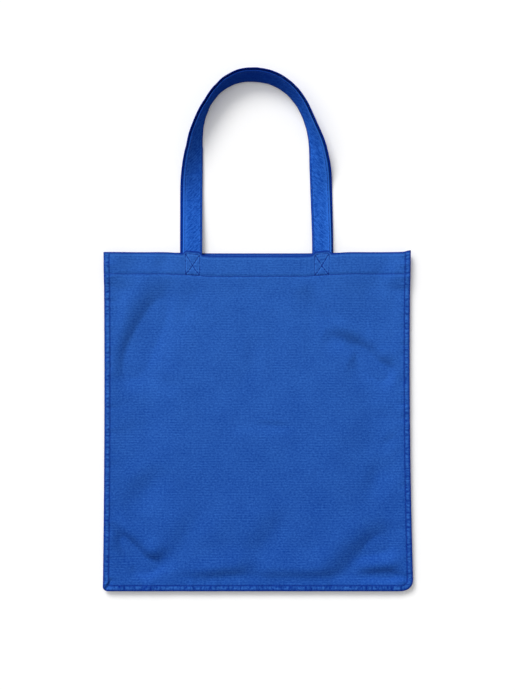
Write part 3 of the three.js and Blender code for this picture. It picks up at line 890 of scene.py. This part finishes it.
class Stitches:
    """Collects the points and faces of many stitches.

    RINGS gives a stitch's rings: where along it each lies, its thickness and its lift. FILL is the share
    of the pitch that a stitch covers, and the rest is the hole.
    """

    RINGS = ((0.0, 0.35, -1.0), (0.16, 0.85, -0.1), (0.5, 1.0, 0.5), (0.84, 0.85, -0.1), (1.0, 0.35, -1.0))
    SIDES = 6
    FILL = 0.80

    def __init__(self, shape):
        self.shape = shape
        self.points = []
        self.faces = []

    def stitch(self, start, end, up):
        run = (end - start).normalized()
        side = run.cross(up).normalized()
        radius = self.shape.sewing.thread / 2
        first = len(self.points)
        for share_along, thick, lift in self.RINGS:
            middle = start.lerp(end, share_along) + up * (lift * self.shape.sewing.bite + radius / 2)
            for k in range(self.SIDES):
                angle = 2 * math.pi * k / self.SIDES
                off = side * math.cos(angle) + up * math.sin(angle)
                self.points.append(middle + off * radius * thick)
        for ring in range(len(self.RINGS) - 1):
            for k in range(self.SIDES):
                a = first + ring * self.SIDES + k
                b = first + ring * self.SIDES + (k + 1) % self.SIDES
                self.faces.append((a, b, b + self.SIDES, a + self.SIDES))
        last = first + (len(self.RINGS) - 1) * self.SIDES
        self.faces.append(tuple(first + k for k in reversed(range(self.SIDES))))
        self.faces.append(tuple(last + k for k in range(self.SIDES)))

    def row(self, line, up):
        """Stitches along a line of points, with the same pitch from end to end"""
        pieces = [(after - before).length for before, after in zip(line, line[1:])]
        total = sum(pieces)
        count = max(1, round(total / self.shape.sewing.stitch))

        def at(distance):
            for k, size in enumerate(pieces):
                if distance <= size or k == len(pieces) - 1:
                    return line[k].lerp(line[k + 1], min(distance / size, 1.0)), up[k]
                distance -= size

        for k in range(count):
            start, normal = at(total * (k + (1 - self.FILL) / 2) / count)
            end, _ = at(total * (k + (1 + self.FILL) / 2) / count)
            self.stitch(start, end, normal)

    def piece(self, name):
        return new_mesh(name, self.points, self.faces)


def panel_line(shape, corners, front):
    """Points on a panel's outer face along straight lines of its pattern"""
    above = shape.half_fabric if front else -shape.half_fabric
    line = []
    for (x0, y0), (x1, y1) in zip(corners, corners[1:]):
        reach = math.hypot(x1 - x0, y1 - y0)
        for t in even(0.0, 1.0, ROW_STEP / reach):
            point = shape.point(x0 + (x1 - x0) * t, y0 + (y1 - y0) * t, front, above)
            if not line or (point - line[-1]).length > ROW_LEAST:
                line.append(point)
    return line


def box_lines(shape, front, side):
    """The box and the cross that hold one end of a handle, on the left or the right side"""
    half = shape.sewing.box_width / 2
    offset = 0.0 if front else shape.strap.back_offset
    draw = shape.strap.back_draw if side > 0 and not front else 0.0
    x = side * (shape.strap_x + offset - draw)
    bottom = shape.hem_row + 2 * shape.sewing.thread
    top = shape.box_top
    box = [(x - half, top), (x - half, bottom), (x + half, bottom), (x + half, top), (x - half, top)]
    return [box, [(x - half, top), (x + half, bottom)], [(x - half, bottom), (x + half, top)]]


def panel_threads(shape, front):
    """The seam's row, the hem's row and both boxes of one panel, as named pieces"""
    sewing = shape.sewing
    label = "front" if front else "back"
    side = shape.half_width - sewing.seam_inset
    low, high = sewing.seam_inset, shape.height - sewing.row_end
    seam = [(-side, high), (-side, low), (side, low), (side, high)]
    hem_end = side - 2 * sewing.thread
    hem = [(-hem_end, shape.hem_row), (hem_end, shape.hem_row)]
    rows = {f"{label}_seam_thread": [seam], f"{label}_hem_thread": [hem]}
    for word, side in (("left", -1), ("right", 1)):
        rows[f"{label}_{word}_box_thread"] = box_lines(shape, front, side)
    normal = Vector((0.0, 0.0, 1.0 if front else -1.0))
    made = []
    for name, lines in rows.items():
        stitches = Stitches(shape)
        for corners in lines:
            line = panel_line(shape, corners, front)
            stitches.row(line, [normal] * len(line))
        made.append((stitches.piece(f"{name}_stitches"), name))
    return made


def strap_threads(shape, front):
    """Two rows of stitches along a handle, on both of its faces"""
    strap = StrapShape(shape, front)
    inset = shape.sewing.strap_inset
    stitches = Stitches(shape)
    last = len(strap.points)
    for across in (inset, shape.strap.width - inset):
        for facing in (1, -1):
            line = [strap.place(i, across, facing * shape.half_strap) for i in range(last)]
            under = [strap.place(i, across, 0.0) for i in range(last)]
            up = [(a - b).normalized() for a, b in zip(line, under)]
            stitches.row(line, up)
    return stitches.piece(f"{'front' if front else 'back'}_handle_stitches")


def both_ways(operation):
    """An arithmetic operator and its reflected form, which add a Math node"""

    def forward(self, other):
        return self.paint.math(operation, self, other)

    def reflected(self, other):
        return self.paint.math(operation, other, self)

    return forward, reflected


class Number:
    """A number socket of a material, on which arithmetic adds Math nodes"""

    __add__, __radd__ = both_ways("ADD")
    __sub__, __rsub__ = both_ways("SUBTRACT")
    __mul__, __rmul__ = both_ways("MULTIPLY")
    __truediv__, __rtruediv__ = both_ways("DIVIDE")

    def __init__(self, paint, socket):
        self.paint = paint
        self.socket = socket

    def __neg__(self):
        return self.paint.math("MULTIPLY", self, -1.0)

    def __abs__(self):
        return self.paint.math("ABSOLUTE", self)

    def sine(self):
        return self.paint.math("SINE", self)

    def least(self, other):
        return self.paint.math("MINIMUM", self, other)

    def most(self, other):
        return self.paint.math("MAXIMUM", self, other)

    def below(self, limit):
        """1 where the number is under the limit, and 0 elsewhere"""
        return self.paint.math("LESS_THAN", self, limit)

    def shared(self):
        """The number kept between 0 and 1"""
        return self.most(0.0).least(1.0)

    def bell(self, width):
        """1 at zero, falling away over width"""
        scaled = self / width
        return self.paint.math("EXPONENT", -(scaled * scaled))


class Paint:
    """A material or a world, and the nodes that make it"""

    def __init__(self, name, kind="materials"):
        self.owner = getattr(bpy.data, kind).new(name)
        self.owner.use_nodes = True
        self.tree = self.owner.node_tree
        self.tree.nodes.clear()

    def add(self, kind, settings=None, inputs=None):
        node = self.tree.nodes.new(kind)
        for key, value in (settings or {}).items():
            setattr(node, key, value)
        for key, value in (inputs or {}).items():
            socket = value.socket if isinstance(value, Number) else value
            if isinstance(socket, bpy.types.NodeSocket):
                self.tree.links.new(socket, node.inputs[key])
            else:
                node.inputs[key].default_value = socket
        return node

    def number(self, socket):
        return Number(self, socket)

    def math(self, operation, *values):
        node = self.add("ShaderNodeMath", {"operation": operation}, dict(enumerate(values)))
        return self.number(node.outputs[0])

    def place(self):
        """Where on the cloth a point is, in metres: across, along, and both as a vector"""
        vector = self.add("ShaderNodeUVMap", {"uv_map": "cloth"}).outputs["UV"]
        parts = self.add("ShaderNodeSeparateXYZ", inputs={"Vector": vector})
        return self.number(parts.outputs["X"]), self.number(parts.outputs["Y"]), vector

    def vector(self, x, y):
        return self.add("ShaderNodeCombineXYZ", inputs={"X": x, "Y": y}).outputs["Vector"]

    def noise(self, vector, size, stretch=(1.0, 1.0), detail=2.0):
        """Noise from 0 to 1, with its own size in metres, longer in the directions of stretch"""
        scale = (1 / (size * stretch[0]), 1 / (size * stretch[1]), 1.0)
        scaled = self.add("ShaderNodeVectorMath", {"operation": "MULTIPLY"}, {0: vector, 1: scale})
        made = self.add("ShaderNodeTexNoise", inputs={
            "Vector": scaled.outputs[0],
            "Scale": 1.0,
            "Detail": detail,
            "Roughness": NOISE_ROUGHNESS,
        })
        return self.number(made.outputs["Fac"])

    def mix(self, factor, first, second):
        """Two colours mixed"""
        inputs = {MIX_FACTOR: factor, MIX_FIRST: first, MIX_SECOND: second}
        return self.add("ShaderNodeMix", {"data_type": "RGBA"}, inputs).outputs[MIX_RESULT]

    def surface(self, base, roughness, height, depth, specular):
        """Joins a colour, a roughness and a height, counted in depths in metres, into the surface"""
        bump = self.add("ShaderNodeBump", inputs={"Strength": 1.0, "Distance": depth, "Height": height})
        shader = self.add("ShaderNodeBsdfPrincipled", inputs={
            "Base Color": base,
            "Roughness": roughness,
            "Normal": bump.outputs["Normal"],
            "Specular IOR Level": specular,
        })
        self.add("ShaderNodeOutputMaterial", inputs={"Surface": shader.outputs["BSDF"]})
        return self.owner

    def seen(self):
        """1 for rays that show the background itself, and 0 for those that only carry light"""
        rays = self.add("ShaderNodeLightPath")
        names = ("Is Camera Ray", "Is Glossy Ray", "Is Transmission Ray")
        camera, glossy, passing = [self.number(rays.outputs[name]) for name in names]
        return (camera + glossy + passing).least(1.0)


def with_alpha(rgb):
    return (*rgb, 1.0)


def embossed(paint, weave, across, along, vector):
    """The pressed dots, grain and fibres of non-woven fabric, as heights about 0.5"""
    turns = 2 * math.pi / weave.dot_pitch
    dots = (across * turns).sine() * (along * turns).sine()
    grain = paint.noise(vector, weave.grain_size, stretch=(GRAIN_STRETCH, 1.0), detail=GRAIN_DETAIL)
    fibres = paint.noise(vector, weave.fibre_size)
    return MIDDLE + dots * weave.dots + (grain - MIDDLE) * weave.grain + (fibres - MIDDLE) * weave.fibres


def ribbed(paint, weave, along, vector):
    """The faint ribs across the panels, which show in patches, as heights about 0"""
    bend = paint.noise(vector, weave.rib_bend_size, detail=1.0)
    ribs = (along * (2 * math.pi / weave.rib_pitch) + bend * weave.rib_bend).sine()
    patchy = paint.noise(vector, weave.rib_patch, detail=1.0)
    return ribs * (patchy * PATCH_CONTRAST - PATCH_START).shared() * weave.ribs


def box_rows(shape, across, along):
    """How far a place on the cloth is from the rows of the boxes that hold the handles"""
    half = shape.sewing.box_width / 2
    rise = (shape.box_top - shape.hem_row) / 2
    slope = rise / half
    off = abs(abs(across) - shape.strap_x)
    up = abs(along - (shape.hem_row + rise))
    outside = (off - half).most(up - rise).most(0.0)
    cross = abs(up - off * slope) / math.hypot(1, slope)
    return abs(off - half).least(abs(up - rise)).least(cross) + outside


def sewn(paint, weave, vector, distance):
    """The dark rows of needle holes, and a painted highlight on the fabric that stands up beside them"""
    patchy = paint.noise(vector, weave.fleck_size * HOLE_SIZE, detail=1.0)
    holes = ((patchy - HOLE_START) * HOLE_CONTRAST).shared()
    rows = distance.bell(weave.row_width) * (ROW_FAINT + holes * (1 - ROW_FAINT))
    beside = (distance - 2 * weave.row_width).bell(weave.row_width) * (1 - holes)
    return rows, beside


def fabric_colour(paint, looks, tones, shade, dark):
    """A colour between the fabric's deep and pale tone, and navy where it is dark"""
    plain = paint.mix(shade.shared(), with_alpha(tones[0]), with_alpha(tones[1]))
    return paint.mix(dark.shared(), plain, with_alpha(looks.navy))


def seam_flecks(paint, weave, vector, on_side):
    """Flecks that are longer across the seam, up the sides and along the bottom"""
    long = weave.fleck_stretch
    flecks = on_side * paint.noise(vector, weave.fleck_size, stretch=(long, 1.0))
    return flecks + (1 - on_side) * paint.noise(vector, weave.fleck_size, stretch=(1.0, long))


def panel_material(shape, weave, looks):
    paint = Paint("panel_non_woven")
    across, along, vector = paint.place()
    texture = embossed(paint, weave, across, along, vector) + ribbed(paint, weave, along, vector)
    blotch = paint.noise(vector, weave.blotch_size)
    side = shape.from_side(across)
    inset = side.least(along)
    seam = shape.sewing.seam_inset
    flecks = seam_flecks(paint, weave, vector, side.below(along))
    strip = inset.below(seam)
    # beside carries the painted highlight on the fabric next to the rows
    rows, beside = sewn(paint, weave, vector, box_rows(shape, across, along))
    rows = rows.most((inset - seam).bell(weave.seam_width) * SEAM_ROW_DARK)
    rows = rows.most((along - shape.hem_row).bell(weave.row_width) * HEM_ROW_DARK)
    from_mouth = shape.height - along
    # Painted shade along the folded edges and the mouth
    rim = inset.least(from_mouth).bell(weave.shaded_rim_width)
    # Painted highlight: a pale line just below the mouth, and one along each strip
    pale_line_highlight = (from_mouth - CREST_AT * weave.shaded_rim_width).bell(weave.shaded_rim_width / 2)
    pale_line_highlight = pale_line_highlight + (inset - weave.strip_highlight_at).bell(weave.seam_width) * flecks
    # The strips' flecks are tone, painted lighter where they stand up and darker where they lie low, as
    # painted highlight and shade of the puckers
    raised = (flecks - MIDDLE) * strip
    # Painted shade: the colour turns deeper from the mouth towards the bottom
    shaded_to_bottom = weave.lightness - weave.fade * (from_mouth / shape.height)
    shade = shaded_to_bottom + (texture - MIDDLE) * weave.contrast + (blotch - MIDDLE) * weave.blotch
    shade = shade + beside * BESIDE_ROW_PAINTED_HIGHLIGHT + pale_line_highlight * CREST_PAINTED_HIGHLIGHT + raised * FLECK_TONE_AND_HIGHLIGHT
    dark = rows.most(rim * RIM_PAINTED_SHADE).most(strip * STRIP_DARK - raised * FLECK_TONE_AND_SHADE)
    base = fabric_colour(paint, looks, (looks.panel_deep, looks.panel_pale), shade, dark)
    rough = PANEL_ROUGHNESS + texture * TEXTURE_ROUGHNESS
    return paint.surface(base, rough, texture + raised * FLECK_HEIGHT, weave.pressed, PANEL_SPECULAR)


def strap_material(shape, weave, looks, front):
    paint = Paint("front_handle_non_woven" if front else "back_handle_non_woven")
    across, along, vector = paint.place()
    texture = embossed(paint, weave, across, along, vector)
    middle = StrapShape(shape, front).total / 2
    mirrored = across * (1 - 2 * (middle - along).below(0.0))
    slanting = paint.vector(along + mirrored, along - mirrored)
    streaks = paint.noise(slanting, weave.streak_size, stretch=(1.0, weave.streak_stretch), detail=1.0)
    outer = shape.strap.width - across
    inset = shape.sewing.strap_inset
    distance = abs(across - inset).least(abs(outer - inset))
    rows, beside = sewn(paint, weave, vector, distance)
    # Painted highlight along the front handle's fold, and painted shade along the back handle's fold, so
    # the two handles' materials are lit and shaded copies of one
    fold = outer.bell(2 * weave.shaded_rim_width)
    # Painted shade round the arch, deepest at its top
    deepest = 1 - (along - weave.arch_shade_at).bell(weave.arch_shade_reach)
    deep = 1 - deepest * deepest
    lit = fold * (1 - deep) if front else -fold
    shade = MIDDLE + (texture - MIDDLE) * weave.contrast + (streaks - MIDDLE) * weave.streaks
    shade = shade + beside * STRAP_BESIDE_ROW_PAINTED_HIGHLIGHT + lit
    arch_shade = deep * (weave.deep + (along - middle).bell(weave.apex_shade_reach) * weave.apex_shade)
    if not front:
        arch_shade = arch_shade.most(fold * STRAP_FOLD_PAINTED_SHADE)
    # Painted shade along the handle's inner edge
    edge = across.bell(weave.shaded_rim_width) * STRAP_EDGE_PAINTED_SHADE
    dark = (rows * STRAP_ROW_DARK).most(edge).most(arch_shade)
    base = fabric_colour(paint, looks, (looks.strap_deep, looks.strap_pale), shade, dark)
    height = texture + (streaks - MIDDLE) * STREAK_HEIGHT
    rough = STRAP_ROUGHNESS + texture * TEXTURE_ROUGHNESS
    return paint.surface(base, rough, height, weave.pressed, STRAP_SPECULAR)


def thread_material(looks):
    paint = Paint("thread_polyester")
    vector = paint.add("ShaderNodeTexCoord").outputs["Object"]
    twist = paint.noise(vector, TWIST_SIZE, detail=1.0)
    base = paint.mix(twist, with_alpha(looks.navy), with_alpha(looks.sewing))
    return paint.surface(
        base, THREAD_ROUGHNESS + twist * TEXTURE_ROUGHNESS, twist, TWIST_DEPTH, THREAD_SPECULAR
    )


def floor_material(looks):
    paint = Paint("table_white")
    glow = paint.mix(paint.seen(), with_alpha(BLACK), with_alpha((looks.floor_glow,) * 3))
    shader = paint.add("ShaderNodeBsdfPrincipled", inputs={
        "Base Color": with_alpha(looks.floor),
        "Roughness": FLOOR_ROUGHNESS,
        "Specular IOR Level": FLOOR_SPECULAR,
        "Emission Color": glow,
        "Emission Strength": 1.0,
    })
    paint.add("ShaderNodeOutputMaterial", inputs={"Surface": shader.outputs["BSDF"]})
    return paint.owner


def room_world(looks):
    """Light from all round, which looks white behind the table"""
    paint = Paint("room", "worlds")
    seen = paint.seen()
    strength = looks.room * (1 - seen) + seen
    back = paint.add("ShaderNodeBackground", inputs={"Color": with_alpha(WHITE), "Strength": strength})
    paint.add("ShaderNodeOutputWorld", inputs={"Surface": back.outputs["Background"]})
    return paint.owner


class BAG_OT_stage(bpy.types.Operator):
    """Add the camera, the lights and the white table"""

    bl_idname = "bag.stage"
    bl_label = "Stage"

    def execute(self, context):
        scene = context.scene
        looks = scene.bag.looks
        self.camera(scene, looks)
        self.light(scene, looks)
        self.floor(looks)
        scene.view_settings.view_transform = "Standard"
        return {"FINISHED"}

    def camera(self, scene, looks):
        data = bpy.data.cameras.new("camera")
        data.sensor_fit = "VERTICAL"
        data.lens = data.sensor_height * looks.camera_height / looks.view_height
        camera = bpy.data.objects.new("camera", data)
        camera.location = (*looks.camera_middle, looks.camera_height)
        scene.collection.objects.link(camera)
        scene.camera = camera

    def sun(self, scene, name, strength, height, side, size):
        data = bpy.data.lights.new(name, "SUN")
        data.energy = strength
        data.angle = size
        lamp = bpy.data.objects.new(name, data)
        flat = math.cos(height)
        towards = Vector((flat * math.cos(side), flat * math.sin(side), math.sin(height)))
        lamp.rotation_euler = towards.to_track_quat("Z", "Y").to_euler()
        scene.collection.objects.link(lamp)

    def light(self, scene, looks):
        self.sun(scene, "key", looks.key, looks.key_height, looks.key_side, looks.key_size)
        self.sun(scene, "wide", looks.wide, looks.wide_height, looks.wide_side, looks.wide_size)
        scene.world = room_world(looks)

    def floor(self, looks):
        corners = [
            (x * TABLE_REACH, y * TABLE_REACH, -TABLE_DROP)
            for x, y in ((-1, -1), (1, -1), (1, 1), (-1, 1))
        ]
        table = new_mesh("table", corners, [(0, 1, 2, 3)])
        table.data.materials.append(floor_material(looks))


class BAG_OT_panels(bpy.types.Operator):
    """Fold the front and back panels"""

    bl_idname = "bag.panels"
    bl_label = "Panels"

    def execute(self, context):
        shape = BagShape(context.scene)
        bag = context.scene.bag
        material = panel_material(shape, bag.weave, bag.looks)
        flat = (
            shape.cut.width + 2 * shape.cut.allowance,
            shape.height + shape.cut.allowance + shape.cut.hem,
        )
        for name, node, front, spacing, rests_on in (
            ("front_panel_cloth", "front_panel", True, FRONT_SPACING, ["back_panel_cloth"]),
            ("back_panel_cloth", "back_panel", False, BACK_SPACING, ["table"]),
        ):
            piece = folded_panel(shape, name, front, spacing)
            finish_piece(piece, material, [node])
        return {"FINISHED"}


class BAG_OT_handles(bpy.types.Operator):
    """Fold the two handles and lay them in their loops"""

    bl_idname = "bag.handles"
    bl_label = "Handles"

    def execute(self, context):
        shape = BagShape(context.scene)
        bag = context.scene.bag
        for name, node, front, rests_on in (
            ("front_handle_strap", "front_handle", True, ["back_handle_strap"]),
            ("back_handle_strap", "back_handle", False, ["table"]),
        ):
            strap = StrapShape(shape, front)
            piece = folded_strap(shape, name, front)
            finish_piece(piece, strap_material(shape, bag.weave, bag.looks, front), [node])
        return {"FINISHED"}


class BAG_OT_stitches(bpy.types.Operator):
    """Sew every row of stitches"""

    bl_idname = "bag.stitches"
    bl_label = "Stitches"

    def execute(self, context):
        shape = BagShape(context.scene)
        material = thread_material(context.scene.bag.looks)
        for front in (True, False):
            for piece, node in panel_threads(shape, front):
                finish_piece(piece, material, [node])
            finish_piece(strap_threads(shape, front), material, [])
        return {"FINISHED"}


class BagSettings(bpy.types.PropertyGroup):
    """All the settings of the bag"""

    cut: group("Cut", BagCut)
    lay: group("Lay", BagLay)
    strap: group("Strap", BagStrap)
    sewing: group("Sewing", BagSewing)
    relief: group("Relief", BagRelief)
    weave: group("Weave", BagWeave)
    looks: group("Looks", BagLooks)


class BAG_PT_panel(bpy.types.Panel):
    """The bag's steps and settings in the sidebar"""

    bl_idname = "BAG_PT_panel"
    bl_label = "Non-woven bag"
    bl_space_type = "VIEW_3D"
    bl_region_type = "UI"
    bl_category = "Bag"

    def draw(self, context):
        for step in STEPS:
            self.layout.operator(step.bl_idname)
        for name in GROUP_NAMES:
            group = getattr(context.scene.bag, name)
            box = self.layout.box()
            for key in group.bl_rna.properties.keys():
                if key not in ("rna_type", "name"):
                    box.prop(group, key)


STEPS = (BAG_OT_stage, BAG_OT_panels, BAG_OT_handles, BAG_OT_stitches)
GROUPS = (BagCut, BagLay, BagStrap, BagSewing, BagRelief, BagWeave, BagLooks, BagSettings)
CLASSES = (*GROUPS, *STEPS, BAG_PT_panel)


def register():
    for kind in CLASSES:
        bpy.utils.register_class(kind)
    bpy.types.Scene.bag = group("Bag", BagSettings)


def unregister():
    del bpy.types.Scene.bag
    for kind in reversed(CLASSES):
        bpy.utils.unregister_class(kind)


def write_sizes():
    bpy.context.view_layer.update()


def main():
    register()
    for step in (bpy.ops.bag.stage, bpy.ops.bag.panels, bpy.ops.bag.handles, bpy.ops.bag.stitches):
        step()
    write_sizes()


if __name__ == "__main__":
    main()
